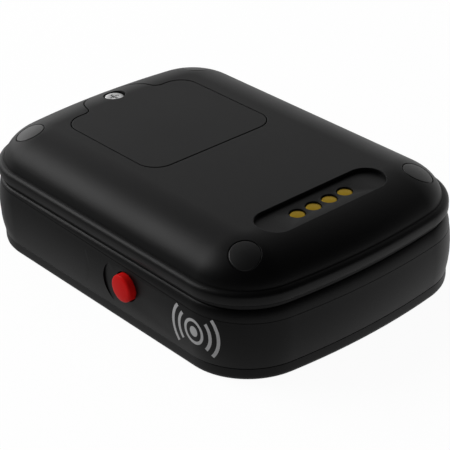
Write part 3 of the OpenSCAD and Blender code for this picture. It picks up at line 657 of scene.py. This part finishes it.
def far_rect(x, y, cx, hx, hy, r):
    qx, qy = abs(x - cx) - hx + r, abs(y) - hy + r
    return hypot(max(qx, 0), max(qy, 0)) + min(max(qx, qy), 0) - r


def rect_loop(cx, hx, hy, r, n=12):
    loop = []
    for sx, sy, a in ((1, -1, -90), (1, 1, 0), (-1, 1, 90), (-1, -1, 180)):
        loop += arc(cx + sx * (hx - r), sy * (hy - r), r, a, a + 90, n)
    return loop


pad_x, pad_long, pad_wide, pad_r = -10.4, 10.5, 11.15, 3.1
bend_x, bend_y = pad_long - pad_r, pad_wide - pad_r
tab_x, tab_r, hollow_x, hollow_r = -20.9, 5.9, -22.4, 1.5
hollow_y = sqrt((tab_r + hollow_r) ** 2 - hollow_r ** 2)
hollow_turn = degrees(atan2(hollow_y, hollow_r))
dome_foot, dome_rise, dome_run, flat_in, under_run = 12.4, 5.1, 7.9, 9.1, 6.4


def far_door(x, y):
    """Distance outside the door's outline: the pad, the round tab and the hollows between them"""
    dx, dy = x - hollow_x, abs(y) - hollow_y
    if dy <= 0 and 0 <= dx <= hollow_r and hollow_r * dy + hollow_y * dx >= 0:
        return hollow_r - hypot(dx, dy)
    return min(far_rect(x, y, pad_x, pad_long, pad_wide, pad_r), hypot(x - tab_x, y) - tab_r)


def door_loop(s):
    """The door's outline moved out by s"""
    loop = []
    for sx, sy, a in ((1, -1, -90), (1, 1, 0), (-1, 1, 90)):
        loop += arc(pad_x + sx * bend_x, sy * bend_y, pad_r + s, a, a + 90, 14)
    loop += arc(hollow_x, hollow_y, hollow_r - s, 0, -hollow_turn, 10)
    loop += arc(tab_x, 0, tab_r + s, 180 - hollow_turn, 180 + hollow_turn, 48)[1:-1]
    loop += arc(hollow_x, -hollow_y, hollow_r - s, hollow_turn, 0, 10)
    return loop + arc(pad_x - bend_x, -bend_y, pad_r + s, 180, 270, 14)


def far_slot(x, y):
    return hypot(x - slot_x, max(abs(y) - slot_y, 0)) - slot_r


def slot_loop(s):
    return (arc(slot_x, slot_y, slot_r + s, 0, 180, 20)
            + arc(slot_x, -slot_y, slot_r + s, 180, 360, 20))


def dome(t):
    """Height of the dome at an inset: a quarter ellipse up to the flat of the back"""
    return dome_foot + dome_rise * sqrt(1 - min(max((flat_in - t) / dome_run, 0), 1) ** 2)


def drop(s, r, over, under, run=0.03):
    """A rounded edge: over outside it, under past the wall, s from the edge"""
    if s < -run / 2:
        return under
    s = max(s, 0)
    return over if s >= r else over - r + sqrt(r * r - (r - s) ** 2)


def steps(r, run=0.03):
    """Distances from an edge at which its rounding is drawn, with the foot of the wall"""
    return [r, r * 0.5, r * 0.134, 0, -run]


def meshed(loops, rings, clear, keep, rim=()):
    """Triangles in plan. Loops are kept whole, rings only where clear of the loops"""
    spots, lines = [], []
    for run, shut in [(loop, True) for loop in loops] + [(edge, False) for edge in rim]:
        first = len(spots)
        spots += [Vector(p) for p in run]
        lines += [(first + i, first + i + 1) for i in range(len(run) - 1)]
        if shut:
            lines.append((len(spots) - 1, first))
    for ring in rings:
        last = None
        for p in ring + ring[:1]:
            if clear(*p):
                spots.append(Vector(p))
                if last is not None:
                    lines.append((last, len(spots) - 1))
                last = len(spots) - 1
            else:
                last = None
    found = delaunay_2d_cdt(spots, lines, [], 0, 0.00001)
    plan = [tuple(v) for v in found[0]]
    tris = []
    for a, b, c in found[2]:
        pa, pb, pc = plan[a], plan[b], plan[c]
        area = (pb[0] - pa[0]) * (pc[1] - pa[1]) - (pb[1] - pa[1]) * (pc[0] - pa[0])
        if abs(area) > 1e-6 and keep((pa[0] + pb[0] + pc[0]) / 3, (pa[1] + pb[1] + pc[1]) / 3):
            tris.append((a, b, c) if area > 0 else (a, c, b))
    return plan, tris


def open_edges(tris):
    """The edges that only one triangle uses, in order"""
    used = dict.fromkeys((tri[i], tri[(i + 1) % 3]) for tri in tris for i in range(3))
    return [(a, b) for a, b in used if (b, a) not in used]


def pressed(name, finish, keep, border, low, high):
    """A closed solid between a lower and an upper skin, each (loops, rings, clear, height)"""
    plan, tris = meshed(border + low[0], low[1], low[2], keep)
    rim = [(plan[a], plan[b]) for a, b in open_edges(tris)]
    upper, over = meshed([], high[1], high[2], keep, rim=rim + [r + r[:1] for r in high[0]])
    spots = [(x, y, low[3](x, y)) for x, y in plan] + [(x, y, high[3](x, y)) for x, y in upper]
    n = len(plan)
    faces = [(a, c, b) for a, b, c in tris] + [(n + a, n + b, n + c) for a, b, c in over]
    spot_at = KDTree(n)
    for i, (x, y) in enumerate(plan):
        spot_at.insert((x, y, 0), i)
    spot_at.balance()
    for a, b in open_edges(over):
        below_a, below_b = [spot_at.find((*upper[end], 0))[1] for end in (a, b)]
        faces.append((n + a, below_a, below_b, n + b))
    return solid(name, spots, faces, finish)


screw_x, slot_x, slot_y, slot_r = -23.3, 21.45, 8.25, 2.75
bay_box, bay_r, bay_turn_x, bay_turn_y, step_x = (-10.41, 9.21, 9.85, 1.8), 1.8, -17.82, 8.05, -19.6
pads = [(slot_x, k * 1.425) for k in (-3, -1, 1, 3)]
well_r, pad_hole_r, pad_edge_r = 2.125, 1.15, 0.06
lip_inset, gap, edge_r, soft_r = 0.35, 0.16, 0.10, 0.08


def nearest(x, y, middles):
    return min(hypot(x - cx, y - cy) for cx, cy in middles)


def from_screw(x, y):
    return hypot(x - screw_x, y)


def far_frame(x, y):
    """Distance outside the frame under the door"""
    return far_rect(x, y, pad_x, 11.7, 12.35, 4.3)


def cover_top(x, y):
    """The lip's bead and the dome, with the door's bed, the wells and the contacts' recess let in"""
    t = inset(x, y)
    bead = dome_foot + 0.8 * sqrt(1 - min(max((1.2 - t) / 0.85, 0), 1) ** 2)
    z = drop(far_door(x, y) - gap, soft_r, max(bead, dome(t)), 14.4 if x < -19.61 else 16.1)
    z = drop(nearest(x, y, wells) - well_r, edge_r, z, 12.6)
    floor_z = drop(nearest(x, y, pads) - pad_hole_r, pad_edge_r, 16.94, 15.74)
    return drop(far_slot(x, y), edge_r, z, floor_z)


def cover_under(x, y):
    """The lip's foot, the groove and the tongue of the rim, then the hollow with its bosses"""
    t = inset(x, y)
    if t < 0.6:
        return 11.3 + 0.3 * ((0.6 - t) / 0.25) ** 2
    if t < 0.935:
        return 11.3
    if t < 2.005:
        return 10.6
    if t < 2.715:
        return 9.8
    z = dome_foot + 3.6 * sqrt(1 - min(max((flat_in - t) / under_run, 0), 1) ** 2)
    if nearest(x, y, wells) < 2.965:
        return 10.6
    if far_frame(x, y) < 0.015:
        z = min(z, 13.4)
    if hypot(x - tab_x, y) < 7.015:
        z = min(z, 12.6)
    if far_slot(x, y) < 0.015:
        z = min(z, 14.8)
    return z


def cover_kept(x, y):
    """True inside the lip and clear of the holes that go through"""
    return (inset(x, y) > lip_inset - 0.02 and far_rect(x, y, *bay_box) > 0
            and nearest(x, y, wells) > 1.1 and nearest(x, y, pads) > 0.65 and from_screw(x, y) > 1.3)


def circle(cx, cy, r, n=40):
    return arc(cx, cy, r, 0, 360, n, False)


# The opening's left corners meet the step of the ledge at one exact point
meet = degrees(acos((step_x - bay_turn_x) / bay_r))
opening = rect_loop(*bay_box)
opening = [p for p in opening if not (p[0] < step_x and abs(p[1]) > 8.1)]
meet_y = bay_turn_y + bay_r * sin(radians(meet))
left = [i for i, p in enumerate(opening) if p[0] < step_x][0]
opening = opening[:left] + [(step_x, meet_y)] + opening[left:]
right_end = [i for i, p in enumerate(opening) if p[0] < step_x][-1]
opening = opening[:right_end + 1] + [(step_x, -meet_y)] + opening[right_end + 1:]
border = [contour(lip_inset), opening] + [circle(x, y, 1.1) for x, y in wells]
border += [circle(x, y, 0.65, 24) for x, y in pads] + [circle(screw_x, 0, 1.3, 32)]

dome_rings = [1.2 - 0.85 * cos(radians(a)) for a in (15, 28, 40, 52, 64, 77, 90)] + [1.25]
dome_rings += [flat_in - dome_run * cos(radians(a)) for a in [8, 11.5, 15] + list(range(19, 88, 4))]
dome_rings.append(flat_in)
top_loops = [door_loop(gap + s) for s in steps(soft_r)] + [slot_loop(s) for s in steps(edge_r)]
top_loops += [circle(x, y, well_r + s, 56) for x, y in wells for s in steps(edge_r)]
top_loops += [circle(x, y, pad_hole_r + s, 40) for x, y in pads for s in steps(pad_edge_r)]
pocket_foot_r = 3.23
foot_y = [bend_y + sqrt(pocket_foot_r ** 2 - (x - pad_x + bend_x) ** 2) for x in (step_x, step_x - 0.02)]
ledge = [[(step_x, s * meet_y), (step_x, s * foot_y[0])] for s in (-1, 1)]
ledge += [[(step_x - 0.02, s * bay_turn_y), (step_x - 0.02, s * foot_y[1])] for s in (-1, 1)]
low_loops = [contour(d) for d in (0.4, 0.5, 0.6, 0.92, 0.95, 1.99, 2.02, 2.7, 2.73)]
low_loops += [circle(x, y, r, 48) for x, y in wells for r in (2.95, 2.98)]
low_loops += [rect_loop(pad_x, 11.7 + s, 12.35 + s, 4.3 + s) for s in (0, 0.03)]
low_loops += [circle(tab_x, 0, r, 72) for r in (7, 7.03)] + [slot_loop(s) for s in (0, 0.03)]
low_rings = [contour(flat_in - under_run * cos(radians(a))) for a in (10, 20, 30, 40, 50, 60, 70, 80, 90)]


def clear_top(x, y):
    return far_door(x, y) - gap > 0.3 and far_slot(x, y) > 0.3 and nearest(x, y, wells) > 2.4


def clear_low(x, y):
    return (nearest(x, y, wells) > 3.2 and far_frame(x, y) > 0.2
            and abs(hypot(x - tab_x, y) - 7.0) > 0.2 and abs(far_slot(x, y)) > 0.2)


cover_black = moulded("cover_black", *blacks, 0.42)
lid = pressed("back_cover", cover_black, cover_kept, border, (low_loops, low_rings, clear_low, cover_under),
              (top_loops + ledge, [contour(d) for d in dome_rings], clear_top, cover_top))


def dome_normal(x, y, z):
    """The dome's own normal, where a point lies on its face"""
    t = inset(x, y)
    if t < 1.25 or abs(z - dome(t)) > 0.004:
        return None
    u = (flat_in - t) / dome_run
    if u <= 0:
        return Vector((0, 0, 1))
    slope = dome_rise / dome_run * u / sqrt(max(1 - u * u, 1e-6))
    n = outward(x, y) * slope
    n.z = 1
    return n.normalized()


soften(lid, 40, dome_normal)
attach(lid, "case")
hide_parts("rear_cover")

# Charging contacts
# Four gold-plated rivets stand in the floor of the recess, each on a sprung pin of the main board.
pad_gold = metal("pad_gold", (0.47, 0.295, 0.004), 0.34, (6, 6, 1), 1500)
profile = [(0, 16.78), (0.85, 16.78), (1.02, 16.75), (1.09, 16.68), (1.1, 16.58), (1.1, 15.74), (0.6, 15.74),
           (0.6, 13.45), (0.5, 13.4), (0, 13.4)]
spots, faces = turned(profile, 40)
rivet = solid("rivet", spots, faces, pad_gold, True)
rivets = spread("contact_rivets", rivet, [(x, y, 0) for x, y in pads], pad_gold)
rivets.data.set_sharp_from_angle(angle=radians(40))
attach(rivets, "case")
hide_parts("contact_pads")
pin_gold = metal("pin_gold", (0.72, 0.50, 0.20), 0.32, (8, 8, 1))
paint(pin_gold, "contact_pins")

# Corner plugs
# Soft rubber discs pressed into the screw wells, flush with the dome, one over each housing screw.
plug_rubber = moulded("plug_rubber", (0.005, 0.005, 0.0052), (0.008, 0.008, 0.0082), 0.44, level=0.5)
plug_r, plug_foot = 2.04, 13.95


def always(x, y):
    return True


def plug_top(x, y):
    return drop(plug_r - nearest(x, y, wells), 0.12, dome(inset(x, y)), plug_foot)


def joined(name, pieces):
    """One object made of several"""
    bpy.ops.object.select_all(action="DESELECT")
    for piece in pieces:
        piece.select_set(True)
    bpy.context.view_layer.objects.active = pieces[0]
    bpy.ops.object.join()
    pieces[0].name = name
    return pieces[0]


stoppers = []
for x, y in wells:
    stoppers.append(pressed("stopper", plug_rubber, lambda px, py: hypot(px - x, py - y) < plug_r,
                            [circle(x, y, plug_r, 56)], ([], [], None, lambda px, py: plug_foot),
                            ([circle(x, y, r, 56) for r in (2.024, 1.98, 1.92)],
                             [circle(x, y, r, 28) for r in (1.5, 1.0, 0.5)], always, plug_top)))
plugs = joined("screw_plugs", stoppers)
soften(plugs, 40, dome_normal)
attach(plugs, "case")
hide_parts("corner_plugs")


# SIM door
# The moulded pad closes the bay, with a rib and a cord seal below, and its round tab follows the
# dome and carries the captive screw. It lies flush, in a gap of 0.16 mm.
def door_top(x, y):
    z = drop(-far_door(x, y), soft_r, dome(inset(x, y)), 16.0)
    return drop(from_screw(x, y) - 1.65, edge_r, z, 16.0)


def far_seal(x, y, s):
    """Distance outside the middle line of the seal, drawn out by s"""
    return far_rect(x, y, seal_x, 9.17 + s, 10.55 + s, 2.5 + s)


def seal_loop(s):
    return rect_loop(seal_x, 9.17 + s, 10.55 + s, 2.5 + s)


def door_under(x, y):
    """The tab's foot, the rib and the seal's groove under the pad"""
    if x < -19.75:
        return 14.4
    if far_rect(x, y, pad_x, 9.0, 9.65, 1.6) < 0.015 and far_rect(x, y, pad_x, 8.2, 8.85, 0.8) > -0.015:
        return 15.4
    if far_seal(x, y, 0.25) < -0.015 and far_seal(x, y, -0.25) > 0.015:
        return 16.35
    return 16.1


def door_kept(x, y):
    return far_door(x, y) < 0 and from_screw(x, y) > 0.9


def clear_door(x, y):
    return far_door(x, y) < -0.25 and from_screw(x, y) > 1.95


seal_x = -9.67
low_loops = [rect_loop(pad_x, 9.0 + s, 9.65 + s, 1.6 + s) for s in (0, 0.03)]
low_loops += [rect_loop(pad_x, 8.2 - s, 8.85 - s, 0.8 - s) for s in (0, 0.03)]
low_loops += [seal_loop(s) for s in (0.25, 0.22, -0.25, -0.22)]
low_loops += [[(x, -11), (x, 11)] for x in (-19.76, -19.74)]
door_loops = [door_loop(-s) for s in steps(soft_r)[:3]]
door_loops += [circle(screw_x, 0, 1.65 + s, 48) for s in steps(edge_r)]
door_black = moulded("door_black", *blacks, 0.42)
hatch = pressed("bay_door", door_black, door_kept, [door_loop(0), circle(screw_x, 0, 0.9, 32)],
                (low_loops, [], None, door_under),
                (door_loops, [contour(d) for d in dome_rings if d > 2], clear_door, door_top))
soften(hatch, 40, dome_normal)
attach(hatch, "door")
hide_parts("sim_door")
seal = pressed("door_seal", seal_rubber, lambda x, y: far_seal(x, y, 0.22) < 0 < far_seal(x, y, -0.22),
               [seal_loop(0.22), seal_loop(-0.22)],
               ([seal_loop(0)], [], None, lambda x, y: 16.02 if abs(far_seal(x, y, 0)) < 0.1 else 16.12),
               ([], [], always, lambda x, y: 16.33))
soften(seal, 60)
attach(seal, "door")
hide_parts("sim_door_seal")


# Door screw and its insert
# A small stainless screw with a cross recess stays captive in the tab and turns into a brass insert.
head_r, head_foot, slot_long, slot_wide = 1.5, 16.0, 0.8, 0.2


def head_top(x, y):
    """The head with its rounded edge and the cross let in"""
    far, dx, dy = from_screw(x, y), abs(x - screw_x), abs(y)
    cross = min(max(dx - slot_long, dy - slot_wide), max(dy - slot_long, dx - slot_wide))
    return drop(cross, 0.04, drop(head_r - far, 0.25, 17.08, head_foot), 16.6)


def cross_loop(s):
    a, b = slot_long + s, slot_wide + s
    loop = [(a, -b), (a, b), (b, b), (b, a), (-b, a), (-b, b)]
    loop += [(-x, -y) for x, y in loop]
    return [(x + screw_x, y) for x, y in loop]


screw_steel = metal("screw_steel", (0.86, 0.86, 0.86), 0.48, (1, 1, 1), 2400)
head_loops = [circle(screw_x, 0, head_r - s, 48) for s in (0.033, 0.125, 0.25)]
head_loops += [cross_loop(s) for s in (0.04, 0.02, 0, -0.03)]
head = pressed("screw_head", screw_steel, lambda x, y: from_screw(x, y) < head_r,
               [circle(screw_x, 0, head_r, 48)], ([], [], None, lambda x, y: head_foot),
               (head_loops, [], None, head_top))
profile = [(0, 16.05), (0.8, 16.05)] + thread(0.79, 0.08, 12.0, 15.4, 0.35)
profile += [(0.7, 12.0), (0.45, 11.8), (0, 11.8)]
spots, faces = turned(profile, 32, (screw_x, 0))
shank = solid("screw_shank", spots, faces, screw_steel, True)
door_screw = joined("door_screw_steel", [head, shank])
soften(door_screw, 35)
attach(door_screw, "door_screw")
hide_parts("sim_door_screw")
paint(insert_brass, "sim_door_insert")
